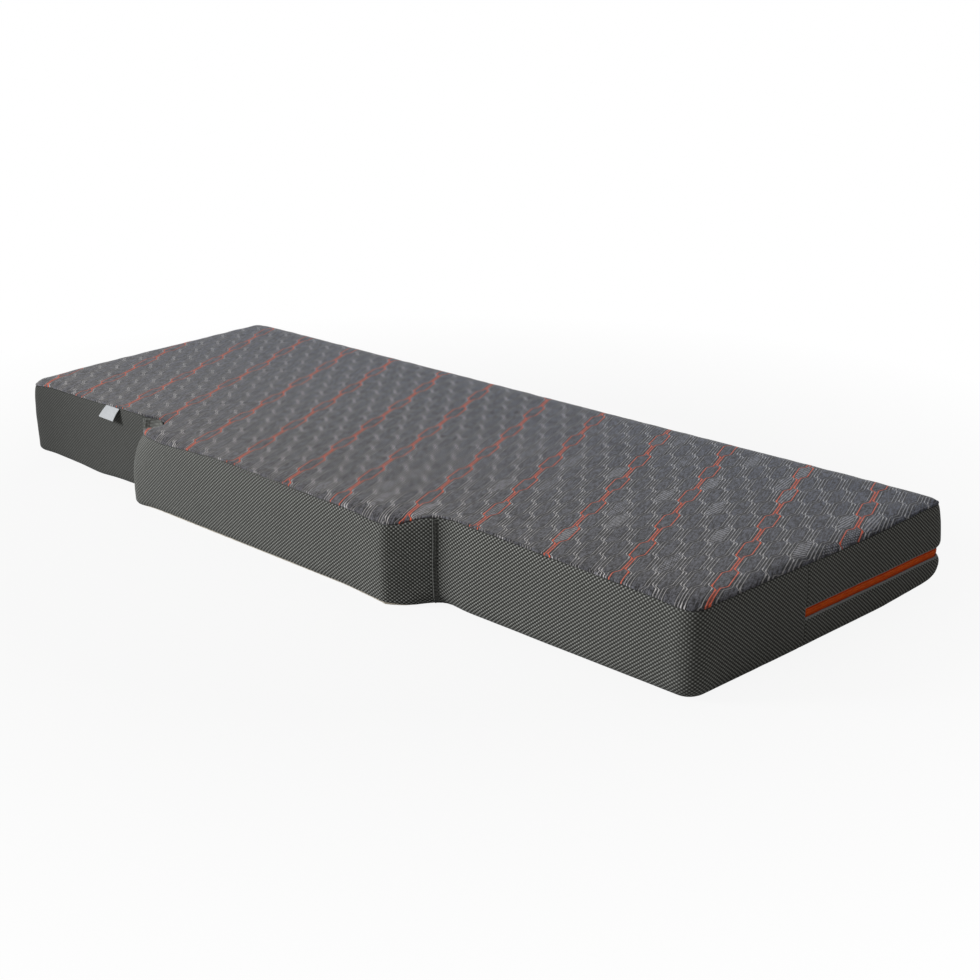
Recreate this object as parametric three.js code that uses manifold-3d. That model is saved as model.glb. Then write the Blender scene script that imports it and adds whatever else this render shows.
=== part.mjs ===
// Bunk mattress for a cabin: a foam core in a zipped cover, with a middle that bulges to the front.
// The frame is in millimetres: +X along the bunk, +Y to the back wall, +Z up, with the floor at zero.

import * as THREE from "three";
import { mergeVertices } from "three/addons/utils/BufferGeometryUtils.js";
import Module from "manifold-3d";

const wasm = await Module();
wasm.setup();

// Plan of the mattress, seen from above
const backLength = 2000;
const frontLength = 1906;
const endDepth = 722;
const bulgeDepth = 785;
const bulgeLeft = 464;
const bulgeRight = 316;
const leftStepRun = 2;
const rightStepRun = 85;
const backRound = 30;
const frontRound = 42;
const bulgeRound = 28;
const notchRound = 34;
const leastRound = 4;

// Heights and the soft shape
const seamHeight = 164;
const crownRise = 7;
const crownRun = 42;
const cornerDrop = 8;
const bulgeDrop = 18;
const backRise = 3;
const notchRise = 13;
const cornerReach = 90;
const notchReach = 200;
const footTuck = 10;
const topTuck = 4;

// Fabrics and foams
const borderThickness = 3;
const panelThickness = 4;
const pinchedThickness = 2;
const bottomThickness = 4;
const bottomBevel = 6;
const waddingThickness = 12;
const comfortThickness = 40;
const baseThickness = 30;
const gap = 0.3;

// Zip along the back and round the right-hand back corner
const zipHeight = 70;
const zipTuck = 5;
const zipWindow = 16;
const zipSeamFromRound = 402;
const zipEndFromRound = 32;
const tapeThickness = 0.8;
const tapeWidth = 14;
const coilHeight = 3.4;
const coilThickness = 2.4;
const coilBevel = 0.8;
const chainGap = 1;

// Zip slider and its pull tab
const sliderPark = 30;
const sliderLength = 14;
const sliderHeight = 11;
const sliderPlate = 1.4;
const sliderBackPlate = 0.9;
const sliderBackHeight = 9;
const sliderWeb = 0.4;
const sliderWebLength = 4;
const archLength = 8;
const archWidth = 2.6;
const archBar = 1;
const archOpening = 2;
const tabLength = 30;
const tabWidth = 7;
const tabTipWidth = 5;
const tabThickness = 1.2;
const tabBarRadius = 0.6;
const tabWindowLength = 6;
const tabBarSides = 10;

// Seam welts at the two notches, and the care label
const weltWidth = 6;
const weltHeight = 2;
const labelLeft = 630;
const labelWidth = 48;
const labelLength = 31;
const labelThickness = 0.8;
const labelTiltDegrees = 39;

// Shares of the crown's run inward, of its rise there, and of the seam's lift that is left there
const crownRunShares = [0, 0.18, 0.42, 0.7, 1];
const crownRiseShares = [0, 0.3, 0.64, 0.89, 1];
const liftLeftShares = [1, 0.8, 0.45, 0.12, 0];

// Share of the shorter side beside a corner that its round may take up
const roundSideShare = 0.48;

// Shares of a border's height, and of its draw-in at the foot, at the top and at the zip
const borderShape = {
  riseShares: [0, 0.06, 0.17, 0.42, 0.66, 0.87, 1],
  footShares: [1, 0.5, 0.15, 0, 0, 0, 0],
  topShares: [0, 0, 0, 0, 0, 0.25, 1],
  zipShares: [0, 0, 0, 0, 0, 0, 0],
};
const zipLowerShape = {
  riseShares: [0, 0.16, 0.45, 0.75, 1],
  footShares: [1, 0.5, 0.12, 0, 0],
  topShares: [0, 0, 0, 0, 0],
  zipShares: [0, 0, 0.1, 0.35, 1],
};
const zipUpperShape = {
  riseShares: [0, 0.12, 0.35, 0.6, 0.85, 1],
  footShares: [0, 0, 0, 0, 0, 0],
  topShares: [0, 0, 0, 0, 0.3, 1],
  zipShares: [1, 0.45, 0.08, 0, 0, 0],
};

const backY = bulgeDepth / 2;
const endY = backY - endDepth;
const bulgeY = backY - bulgeDepth;
const tapeInset = zipTuck + borderThickness + gap;
const tapeBackInset = tapeInset + tapeThickness;
const coreInset = tapeBackInset + gap + sliderBackPlate + gap;
const bottomTop = bottomThickness + gap;
const baseTop = bottomTop + baseThickness;
const comfortBottom = seamHeight - waddingThickness - comfortThickness;

// Corners in order, counter-clockwise from above, from the left end of the back
const corners = [
  { name: "backLeft", x: -backLength / 2, y: backY, round: backRound, steps: 5, lift: backRise },
  { name: "frontLeft", x: -frontLength / 2, y: endY, round: frontRound, steps: 6, lift: -cornerDrop },
  { name: "leftNotch", x: -bulgeLeft - leftStepRun, y: endY, round: notchRound, steps: 3, lift: notchRise },
  { name: "bulgeLeft", x: -bulgeLeft, y: bulgeY, round: bulgeRound, steps: 3, lift: -bulgeDrop },
  { name: "bulgeRight", x: bulgeRight, y: bulgeY, round: bulgeRound, steps: 3, lift: -bulgeDrop },
  { name: "rightNotch", x: bulgeRight + rightStepRun, y: endY, round: notchRound, steps: 3, lift: notchRise },
  { name: "frontRight", x: frontLength / 2, y: endY, round: frontRound, steps: 6, lift: -cornerDrop },
  { name: "backRight", x: backLength / 2, y: backY, round: backRound, steps: 5, lift: backRise },
];
const cornerNamed = (name) => corners.findIndex((corner) => corner.name === name);
const leftNotch = cornerNamed("leftNotch");
const rightNotch = cornerNamed("rightNotch");
const rightEnd = cornerNamed("frontRight");
const backSide = cornerNamed("backRight");

const cyclic = (list, index) => list[((index % list.length) + list.length) % list.length];

const distance = (from, to) => Math.hypot(to.x - from.x, to.y - from.y);

const directionTo = (from, to) => {
  const length = distance(from, to);
  return { x: (to.x - from.x) / length, y: (to.y - from.y) / length };
};

// Corner geometry at an inset: the sides move inward by it, and each corner keeps a round of its own
function roundedCorner(index, inset) {
  const corner = corners[index];
  const previous = cyclic(corners, index - 1);
  const following = cyclic(corners, index + 1);
  const before = directionTo(previous, corner);
  const after = directionTo(corner, following);
  const turn = Math.atan2(before.x * after.y - before.y * after.x, before.x * after.x + before.y * after.y);
  const slide = inset * Math.tan(turn / 2);
  const apex = {
    x: corner.x - before.y * inset + before.x * -slide,
    y: corner.y + before.x * inset + before.y * -slide,
  };
  const side = Math.sign(turn);
  const wanted = side > 0 ? Math.max(corner.round - inset, leastRound) : corner.round + inset;
  const shorterSide = Math.min(distance(previous, corner), distance(corner, following));
  const radius = Math.min(wanted, (roundSideShare * shorterSide) / Math.tan(Math.abs(turn) / 2));
  const tangent = radius * Math.tan(Math.abs(turn) / 2);
  const centre = {
    x: apex.x - before.x * tangent - before.y * side * radius,
    y: apex.y - before.y * tangent + before.x * side * radius,
  };
  const start = Math.atan2(-side * before.x, side * before.y);
  return Array.from({ length: corner.steps + 1 }, (_, k) => {
    const angle = start + (turn * k) / corner.steps;
    return { x: centre.x + radius * Math.cos(angle), y: centre.y + radius * Math.sin(angle) };
  });
}

// Shares that cut the straight after each corner, closer together near its ends
const easedShares = (count) =>
  Array.from({ length: count }, (_, k) => (1 - Math.cos((Math.PI * (k + 1)) / (count + 1))) / 2);

const splitShares = (share, before, after) => [
  ...easedShares(before).map((part) => part * share),
  share,
  ...easedShares(after).map((part) => share + part * (1 - share)),
];

function shareBeforeRound(side, before) {
  const from = roundedCorner(side, 0).at(-1);
  const to = roundedCorner((side + 1) % corners.length, 0)[0];
  return 1 - before / distance(from, to);
}

const zipSeamShare = shareBeforeRound(rightEnd, zipSeamFromRound);
const zipEndShare = shareBeforeRound(backSide, zipEndFromRound);
const sideShares = [
  easedShares(6),
  easedShares(6),
  easedShares(2),
  easedShares(7),
  easedShares(2),
  easedShares(6),
  splitShares(zipSeamShare, 3, 3),
  splitShares(zipEndShare, 11, 0),
];

// The plan outline at an inset, always with the same count of points in the same order
function outline(inset) {
  const arcs = corners.map((_, index) => roundedCorner(index, inset));
  return arcs.flatMap((arc, index) => {
    const from = arc.at(-1);
    const to = cyclic(arcs, index + 1)[0];
    const side = sideShares[index].map((share) => ({
      x: THREE.MathUtils.lerp(from.x, to.x, share),
      y: THREE.MathUtils.lerp(from.y, to.y, share),
    }));
    return [...arc, ...side];
  });
}

// Places in the outline where border strips meet
const cornerStart = (index) =>
  corners.slice(0, index).reduce((sum, corner, k) => sum + corner.steps + 1 + sideShares[k].length, 0);
const sideCut = (index, share) =>
  cornerStart(index) + corners[index].steps + 1 + sideShares[index].indexOf(share);

const cuts = {
  leftNotch: cornerStart(leftNotch),
  rightNotch: cornerStart(rightNotch),
  zipSeam: sideCut(rightEnd, zipSeamShare),
  zipEnd: sideCut(backSide, zipEndShare),
};

// How far the top seam is lifted, or drawn down, near the corners; the notches lift it furthest along
const liftAt = (point) =>
  corners.reduce((sum, corner) => {
    const reach = corner.lift === notchRise ? notchReach : cornerReach;
    return sum + corner.lift * Math.exp(-((distance(point, corner) / reach) ** 2));
  }, 0);

const seamLifts = outline(0).map(liftAt);

// Value of a list of shares at a place between the crown's stations
function atCrownShare(share, valueShares) {
  const last = crownRunShares.length - 1;
  const next = crownRunShares.findIndex((station, index) => index > 0 && share <= station);
  const upper = next < 0 ? last : next;
  const from = crownRunShares[upper - 1];
  const blend = Math.min((share - from) / (crownRunShares[upper] - from), 1);
  return THREE.MathUtils.lerp(valueShares[upper - 1], valueShares[upper], blend);
}

// A ring of the crowned surface that the top seam and the cushion carry, shifted up or down
function crownRing(inset, shift) {
  const share = Math.max(inset - topTuck, 0) / crownRun;
  return outline(inset).map((point, index) => ({
    ...point,
    z:
      seamHeight +
      shift +
      crownRise * atCrownShare(share, crownRiseShares) +
      seamLifts[index] * atCrownShare(share, liftLeftShares),
  }));
}

const flatRing = (inset, height) => outline(inset).map((point) => ({ ...point, z: height }));

// A closed mesh of points and faces, turned to face out
function closedGeometry(points, faces) {
  const volume = faces.reduce((sum, [a, b, c]) => {
    const cross = new THREE.Vector3().crossVectors(points[b], points[c]);
    return sum + points[a].dot(cross);
  }, 0);
  const outward = volume > 0 ? faces : faces.map(([a, b, c]) => [a, c, b]);
  const geometry = new THREE.BufferGeometry();
  geometry.setAttribute("position", new THREE.Float32BufferAttribute(points.flatMap((p) => p.toArray()), 3));
  geometry.setIndex(outward.flat());
  geometry.computeVertexNormals();
  return geometry;
}

const toVector = (point) => new THREE.Vector3(point.x, point.y, point.z);

// Faces of the walls between equal loops that follow each other, cut along one diagonal or the other
function wallFaces(loops, width, crossed = () => false) {
  const faces = [];
  for (let loop = 0; loop < loops - 1; loop += 1) {
    for (let k = 0; k < width; k += 1) {
      const near = loop * width + k;
      const nearNext = loop * width + ((k + 1) % width);
      const corner = crossed(loop) ? near + width : nearNext + width;
      const start = crossed(loop) ? nearNext : near;
      faces.push([near, nearNext, corner], [start, nearNext + width, near + width]);
    }
  }
  return faces;
}

// A solid between a lowest and a highest ring of the plan outline, closed by a fan at each end.
// Rings that widen are cut along the other diagonal, so that crowned layers lie parallel.
function layeredSolid(rings) {
  const width = rings[0].length;
  const loops = rings.length;
  const points = rings.flat().map(toVector);
  const lowCentre = points.push(new THREE.Vector3(0, 0, rings[0][0].z)) - 1;
  const highCentre = points.push(new THREE.Vector3(0, 0, rings.at(-1)[0].z)) - 1;
  const widens = (loop) => rings[loop + 1][0].y > rings[loop][0].y;
  const faces = wallFaces(loops, width, widens);
  for (let k = 0; k < width; k += 1) {
    const next = (k + 1) % width;
    const last = (loops - 1) * width;
    faces.push([lowCentre, next, k], [highCentre, last + k, last + next]);
  }
  return closedGeometry(points, faces);
}

// A solid through loops of a narrow section, closed at both ends from the section's tips inward
function sectionSolid(loops) {
  const width = loops[0].length;
  const last = (loops.length - 1) * width;
  const faces = wallFaces(loops.length, width);
  const closeEnds = (a, b, c) => faces.push([a, c, b], [last + a, last + b, last + c]);
  const open = [...loops[0].keys()];
  let fromStart = true;
  while (open.length > 2) {
    if (fromStart) {
      closeEnds(open[0], open[1], open.at(-1));
      open.shift();
    } else {
      closeEnds(open[0], open.at(-2), open.at(-1));
      open.pop();
    }
    fromStart = !fromStart;
  }
  return closedGeometry(loops.flat(), faces);
}

// A strip that follows the outline from one cut to another; its section is a loop of outline rings
function sweptStrip(section, from, to) {
  const count = section[0].length;
  const span = (((to - from) % count) + count) % count;
  const trimmed = (ring, index, towards) => {
    const end = toVector(cyclic(ring, index));
    const next = toVector(cyclic(ring, index + towards));
    return end.lerp(next, gap / 2 / end.distanceTo(next));
  };
  const loops = Array.from({ length: span + 1 }, (_, k) =>
    section.map((ring) => {
      if (k === 0) {
        return trimmed(ring, from, 1);
      }
      return k === span ? trimmed(ring, to, -1) : toVector(cyclic(ring, from + k));
    }),
  );
  return sectionSolid(loops);
}

// Rings of a border strip's section, up its outside and down its inside
function borderSection(shape, lowRing, highRing) {
  const tuck = (index) =>
    footTuck * shape.footShares[index] + topTuck * shape.topShares[index] + zipTuck * shape.zipShares[index];
  const skin = (depth) =>
    shape.riseShares.map((share, index) =>
      outline(tuck(index) + depth).map((point, k) => ({
        ...point,
        z: THREE.MathUtils.lerp(lowRing(k), highRing(k), share),
      })),
    );
  return [...skin(0), ...skin(borderThickness).reverse()];
}

const footLine = () => bottomTop;
const seamLine = (k) => seamHeight + seamLifts[k];
const zipLowerLine = () => zipHeight - zipWindow / 2;
const zipUpperLine = () => zipHeight + zipWindow / 2;

// Solids of the library that joins and cuts, made from plain geometries
function toSolid(geometry) {
  const bare = geometry.clone();
  bare.deleteAttribute("normal");
  bare.deleteAttribute("uv");
  const merged = mergeVertices(bare);
  return new wasm.Manifold(
    new wasm.Mesh({
      numProp: 3,
      vertProperties: merged.getAttribute("position").array,
      triVerts: new Uint32Array(merged.getIndex().array),
    }),
  );
}

function toGeometry(solid) {
  const mesh = solid.getMesh();
  const geometry = new THREE.BufferGeometry();
  geometry.setAttribute("position", new THREE.BufferAttribute(new Float32Array(mesh.vertProperties), 3));
  geometry.setIndex([...mesh.triVerts]);
  geometry.computeVertexNormals();
  return geometry;
}

const boxAt = (size, centre) =>
  new THREE.BoxGeometry(size.x, size.y, size.z).translate(centre.x, centre.y, centre.z);

const joined = (geometries) => toGeometry(geometries.map(toSolid).reduce((sum, solid) => sum.add(solid)));

const palette = {
  jacquard: { color: 0x4b4b50, roughness: 0.85 },
  wadding: { color: 0xe8e6e0, roughness: 1 },
  comfortFoam: { color: 0xdfe6ea, roughness: 0.95 },
  supportFoam: { color: 0xe9e4d2, roughness: 0.95 },
  baseFoam: { color: 0xc9ccd0, roughness: 0.95 },
  underside: { color: 0xe9e3d4, roughness: 0.9 },
  spacerMesh: { color: 0x3a3c3a, roughness: 0.9 },
  tape: { color: 0xc8501e, roughness: 0.8 },
  coil: { color: 0xd9500f, roughness: 0.45 },
  slider: { color: 0x8d9094, roughness: 0.35, metalness: 0.9 },
  label: { color: 0xf2f2f0, roughness: 0.7 },
};

const mattress = new THREE.Group();

function addPiece(name, geometry, finish) {
  const piece = new THREE.Mesh(geometry, new THREE.MeshStandardMaterial(palette[finish]));
  piece.name = name;
  mattress.add(piece);
  return piece;
}

// Foam core: base, support and comfort layers, the last with the cushion's crown
const footInset = footTuck + borderThickness + 2 * gap;
const footChamfer = footInset - coreInset;

addPiece(
  "base_foam",
  layeredSolid([
    flatRing(footInset + footChamfer, bottomTop),
    flatRing(coreInset, bottomTop + 2 * footChamfer),
    flatRing(coreInset, baseTop),
  ]),
  "baseFoam",
);

addPiece(
  "support_foam",
  layeredSolid([flatRing(coreInset, baseTop + gap), flatRing(coreInset, comfortBottom - gap)]),
  "supportFoam",
);

// Insets of the crowned rings that lie inside a piece's own edge
const crownInsets = (edge) =>
  [edge, ...crownRunShares.map((share) => topTuck + crownRun * share)].filter((inset) => inset >= edge);

addPiece(
  "comfort_foam",
  layeredSolid([
    flatRing(coreInset, comfortBottom),
    ...crownInsets(coreInset).map((inset) => crownRing(inset, -waddingThickness - gap)),
  ]),
  "comfortFoam",
);

// Cover top: a jacquard panel pinched thin at its seam, over a layer of wadding
const crownSlab = (edge, lower, upper, edgeUpper) => [
  ...crownInsets(edge)
    .reverse()
    .map((inset) => crownRing(inset, lower)),
  ...crownInsets(edge).map((inset, index) => crownRing(inset, index === 0 ? edgeUpper : upper)),
];

const waddingInset = topTuck + borderThickness + 2 * gap;

addPiece("top_wadding", layeredSolid(crownSlab(waddingInset, -waddingThickness, 0, -pinchedThickness)), "wadding");
addPiece(
  "top_panel",
  layeredSolid(crownSlab(topTuck, gap, gap + panelThickness, gap + pinchedThickness)),
  "jacquard",
);

// Cover underside: a pale panel with a bevelled rim
addPiece(
  "bottom_panel",
  layeredSolid([
    flatRing(footTuck + bottomBevel, 0),
    flatRing(footTuck, bottomThickness / 2),
    flatRing(footTuck, bottomThickness),
  ]),
  "underside",
);

// Border of spacer mesh, in strips that meet at the notches and at the zip's end seams
const plainBorder = borderSection(borderShape, footLine, seamLine);
const lowerBorder = borderSection(zipLowerShape, footLine, zipLowerLine);
const upperBorder = borderSection(zipUpperShape, zipUpperLine, seamLine);

addPiece("border_left", sweptStrip(plainBorder, cuts.zipEnd, cuts.leftNotch), "spacerMesh");
addPiece("border_bulge", sweptStrip(plainBorder, cuts.leftNotch, cuts.rightNotch), "spacerMesh");
addPiece("border_right", sweptStrip(plainBorder, cuts.rightNotch, cuts.zipSeam), "spacerMesh");
addPiece("border_zip_lower", sweptStrip(lowerBorder, cuts.zipSeam, cuts.zipEnd), "spacerMesh");
addPiece("border_zip_upper", sweptStrip(upperBorder, cuts.zipSeam, cuts.zipEnd), "spacerMesh");

// Zip: a tape and a coil on each side of its centre line
const zipRing = (inset, rise) => flatRing(inset, zipHeight + rise);

for (const [name, side] of [
  ["lower", -1],
  ["upper", 1],
]) {
  const inner = (side * chainGap) / 2;
  const tapeSection = [
    zipRing(tapeInset, inner),
    zipRing(tapeInset, side * tapeWidth),
    zipRing(tapeBackInset, side * tapeWidth),
    zipRing(tapeBackInset, inner),
  ];
  const coilBack = tapeInset - gap;
  const coilFront = coilBack - coilThickness;
  const coilSection = [
    zipRing(coilBack, inner),
    zipRing(coilFront, inner),
    zipRing(coilFront, inner + side * (coilHeight - coilBevel)),
    zipRing(coilFront + coilBevel, inner + side * coilHeight),
    zipRing(coilBack, inner + side * coilHeight),
  ];
  addPiece(`zip_tape_${name}`, sweptStrip(tapeSection, cuts.zipSeam, cuts.zipEnd), "tape");
  addPiece(`zip_coil_${name}`, sweptStrip(coilSection, cuts.zipSeam, cuts.zipEnd), "coil");
}

// Slider: a front plate with an arch, and a back plate, joined by a web between the coils
const backFace = (inset) => backY - inset;
const coilFace = tapeInset - gap - coilThickness;
const plateInset = coilFace - gap - sliderPlate;
const backPlateInset = tapeBackInset + gap;
const sliderX = outline(plateInset)[cuts.zipEnd].x + sliderPark + sliderLength / 2;

function sliderBox(length, outerInset, innerInset, height, shift) {
  const size = new THREE.Vector3(length, innerInset - outerInset, height);
  const centre = new THREE.Vector3(sliderX + shift, backFace((innerInset + outerInset) / 2), zipHeight);
  return boxAt(size, centre);
}

const archInset = plateInset - archOpening - archBar;
const archLegShift = (archLength - archBar) / 2;
const overlap = archBar / 2;

addPiece(
  "zip_slider",
  joined([
    sliderBox(sliderLength, plateInset, plateInset + sliderPlate, sliderHeight, 0),
    sliderBox(sliderLength, backPlateInset, backPlateInset + sliderBackPlate, sliderBackHeight, 0),
    sliderBox(sliderWebLength, plateInset + overlap, backPlateInset + sliderBackPlate / 2, sliderWeb, 0),
    sliderBox(archLength, archInset, archInset + archBar, archWidth, 0),
    sliderBox(archBar, archInset, plateInset + overlap, archWidth, archLegShift),
    sliderBox(archBar, archInset, plateInset + overlap, archWidth, -archLegShift),
  ]),
  "slider",
);

// Pull tab: a tapered plate with a window, whose end bar sits under the slider's arch
const tabAxisInset = plateInset - archOpening / 2;
const windowWidth = archWidth + 3 * gap;
const tabShape = new THREE.Shape();
tabShape.moveTo(0, -tabWidth / 2);
tabShape.lineTo(tabLength, -tabTipWidth / 2);
tabShape.lineTo(tabLength, tabTipWidth / 2);
tabShape.lineTo(0, tabWidth / 2);
tabShape.closePath();

const tabWindow = new THREE.Path();
tabWindow.moveTo(tabBarRadius, -windowWidth / 2);
tabWindow.lineTo(tabWindowLength, -windowWidth / 2);
tabWindow.lineTo(tabWindowLength, windowWidth / 2);
tabWindow.lineTo(tabBarRadius, windowWidth / 2);
tabWindow.closePath();
tabShape.holes.push(tabWindow);

const tabPlate = new THREE.ExtrudeGeometry(tabShape, { depth: tabThickness, bevelEnabled: false });
tabPlate.translate(0, 0, -tabThickness / 2);
const tabBar = new THREE.CylinderGeometry(tabBarRadius, tabBarRadius, tabWidth, tabBarSides);

const tab = addPiece("zip_pull", joined([tabPlate, tabBar]), "slider");
tab.rotation.set(Math.PI / 2, 0, 0);
tab.position.set(sliderX, backFace(tabAxisInset), zipHeight);

// Seam welts: a narrow ridge up the inner corner of each notch
function notchWelt(cut, towards) {
  const pairAt = (inset, height) => {
    const ring = outline(inset);
    const from = cyclic(ring, cut);
    const along = directionTo(from, cyclic(ring, cut + towards));
    return [0, weltWidth].map((run) =>
      toVector({ x: from.x + along.x * run, y: from.y + along.y * run, z: height }),
    );
  };
  const loops = borderShape.riseShares.map((share, index) => {
    const tuck = footTuck * borderShape.footShares[index] + topTuck * borderShape.topShares[index];
    const height = THREE.MathUtils.lerp(bottomTop, seamLine(cut), share);
    const inner = pairAt(tuck - gap, height);
    const outer = pairAt(tuck - gap - weltHeight, height);
    return [...inner, ...outer.reverse()];
  });
  return sectionSolid(loops);
}

addPiece("seam_welt_left", notchWelt(cuts.leftNotch, 1), "spacerMesh");
addPiece("seam_welt_right", notchWelt(cuts.rightNotch, -1), "spacerMesh");

// Care label: a blank loop of tape, sewn into the top seam and standing off the border
const labelHeight = seamHeight + liftAt({ x: -labelLeft, y: endY }) - labelThickness;
const labelGeometry = new THREE.BoxGeometry(labelWidth, labelThickness, labelLength);
labelGeometry.translate(labelWidth / 2, 0, -labelLength / 2 - labelThickness / 2);
const label = addPiece("care_label", labelGeometry, "label");
label.rotation.set(-THREE.MathUtils.degToRad(labelTiltDegrees), 0, 0);
label.position.set(-labelLeft, endY + topTuck - labelThickness - gap, labelHeight);

export default mattress;
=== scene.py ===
import math

import bmesh
import bpy
import numpy as np
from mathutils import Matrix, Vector


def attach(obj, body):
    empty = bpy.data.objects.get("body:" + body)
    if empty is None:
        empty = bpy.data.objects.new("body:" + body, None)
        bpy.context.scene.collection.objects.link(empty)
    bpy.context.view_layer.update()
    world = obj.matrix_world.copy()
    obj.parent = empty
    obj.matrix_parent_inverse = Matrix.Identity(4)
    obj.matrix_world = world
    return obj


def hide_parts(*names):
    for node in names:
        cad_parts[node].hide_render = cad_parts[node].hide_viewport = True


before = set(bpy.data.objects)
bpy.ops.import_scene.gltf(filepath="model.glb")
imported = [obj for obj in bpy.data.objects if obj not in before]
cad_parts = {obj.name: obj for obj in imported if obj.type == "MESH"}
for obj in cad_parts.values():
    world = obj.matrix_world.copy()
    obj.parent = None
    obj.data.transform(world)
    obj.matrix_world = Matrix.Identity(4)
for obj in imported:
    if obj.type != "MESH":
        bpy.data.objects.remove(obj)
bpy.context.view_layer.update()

# ---- Camera at the photograph's place
AZIMUTH, ELEVATION = math.radians(43.154), math.radians(19.702)
FOCAL_PIXELS, PICTURE_PIXELS, SENSOR_MM = 1545.2, 980, 36
aim = Vector((
    -math.sin(AZIMUTH) * math.cos(ELEVATION), math.cos(AZIMUTH) * math.cos(ELEVATION), -math.sin(ELEVATION),
))
camera = bpy.data.objects.new("camera", bpy.data.cameras.new("camera"))
camera.data.sensor_width = SENSOR_MM
camera.data.lens = SENSOR_MM * FOCAL_PIXELS / PICTURE_PIXELS
camera.location = (2.1998, -2.1207, 1.1355)
camera.rotation_mode = "QUATERNION"
camera.rotation_quaternion = aim.to_track_quat("-Z", "Y")
bpy.context.scene.collection.objects.link(camera)
bpy.context.scene.camera = camera
bpy.context.scene.view_settings.view_transform = "Standard"

# ---- Plan outline, as in the CAD: corners with their rounds, counter-clockwise from the back left
BACK, BULGE, ENDS = 0.3925, -0.3925, -0.3295  # y of the back, of the bulge's front and of the front beside it
CORNERS = np.array([
    (-1.000, BACK, 0.030),
    (-0.953, ENDS, 0.042),
    (-0.473, ENDS, 0.020),
    (-0.473, BULGE, 0.036),
    (0.316, BULGE, 0.015),
    (0.401, ENDS, 0.034),
    (0.953, ENDS, 0.042),
    (1.000, BACK, 0.030),
])
COUNT = len(CORNERS)
ARC_STEPS = (10, 12, 9, 12, 7, 7, 12, 10)
SPACING = 0.009
LEAST_ROUND = 0.006
MOST_OF_SIDE = 0.62  # the share of a side that a corner's round may take


def direction(a, b):
    return (b - a) / np.linalg.norm(b - a)


def rounded_corner(k, inset):
    here, radius = CORNERS[k, :2], CORNERS[k, 2]
    before = direction(CORNERS[k - 1, :2], here)
    after = direction(here, CORNERS[(k + 1) % COUNT, :2])
    turn = math.atan2(before[0] * after[1] - before[1] * after[0], before @ after)
    left = np.array([-before[1], before[0]])
    apex = here + left * inset - before * inset * math.tan(turn / 2)
    side = math.copysign(1, turn)
    radius = max(radius - inset, LEAST_ROUND) if side > 0 else radius + inset
    ends = CORNERS[k - 1, :2], CORNERS[(k + 1) % COUNT, :2]
    room = min(np.linalg.norm(here - end) for end in ends)
    radius = min(radius, MOST_OF_SIDE * room / math.tan(abs(turn) / 2))
    centre = apex - before * radius * math.tan(abs(turn) / 2) + left * side * radius
    start = math.atan2(-side * before[0], side * before[1])
    angles = start + turn * np.linspace(0, 1, ARC_STEPS[k] + 1)
    return centre + radius * np.stack([np.cos(angles), np.sin(angles)], 1)


SIDE_STEPS = [
    max(3, round(np.linalg.norm(rounded_corner((k + 1) % COUNT, 0)[0] - rounded_corner(k, 0)[-1]) / SPACING))
    for k in range(COUNT)
]


def outline(inset):
    arcs = [rounded_corner(k, inset) for k in range(COUNT)]
    points = []
    for k, arc in enumerate(arcs):
        shares = np.linspace(0, 1, SIDE_STEPS[k] + 1)[1:-1, None]
        points += [arc, arc[-1] + shares * (arcs[(k + 1) % COUNT][0] - arc[-1])]
    return np.concatenate(points)


BASE = outline(0)
OUTWARD = BASE - outline(0.001)
OUTWARD /= np.linalg.norm(OUTWARD, axis=1)[:, None]
STEPS = np.linalg.norm(np.roll(BASE, -1, 0) - BASE, axis=1)
RUN = np.concatenate([[0], np.cumsum(STEPS)[:-1]])
LENGTH = STEPS.sum()
PROFILE_STEP = 0.002
WAVE_COUNT = 7


def along(values, run):
    """Values of the outline's points, read at lengths along it."""
    values = np.asarray(values, float)
    places = np.append(RUN, LENGTH)
    if values.ndim == 1:
        return np.interp(run % LENGTH, places, np.append(values, values[0]))
    return np.stack([along(column, run) for column in values.T], -1)


def run_at(x, y):
    return RUN[np.argmin(np.hypot(BASE[:, 0] - x, BASE[:, 1] - y))]


def profile(points, soften=0.012):
    """A value round the outline, smooth between (x, y, value) points."""
    places = np.array([(run_at(x, y), value) for x, y, value in points])
    places = places[np.argsort(places[:, 0])]
    fine = np.arange(0, LENGTH, PROFILE_STEP)
    values = np.interp(fine, places[:, 0], places[:, 1], period=LENGTH)
    reach = int(4 * soften / PROFILE_STEP)
    kernel = np.exp(-0.5 * (np.arange(-reach, reach + 1) * PROFILE_STEP / soften) ** 2)
    wrapped = np.concatenate([values[-reach:], values, values[:reach]])
    values = np.convolve(wrapped, kernel / kernel.sum(), "valid")
    return np.interp(RUN, fine, values, period=LENGTH)


def waves(a, b, seed, scale):
    """Smooth, repeatable unevenness of about one unit over a and b."""
    chance = np.random.default_rng(seed)
    total = np.zeros(np.broadcast(a, b).shape)
    for _ in range(WAVE_COUNT):
        angle = chance.uniform(0, math.tau)
        size = chance.uniform(0.6, 1.7)
        shift = chance.uniform(0, math.tau)
        total = total + np.sin((a * math.cos(angle) + b * math.sin(angle)) * math.tau * size / scale + shift)
    return total / 3


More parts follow.
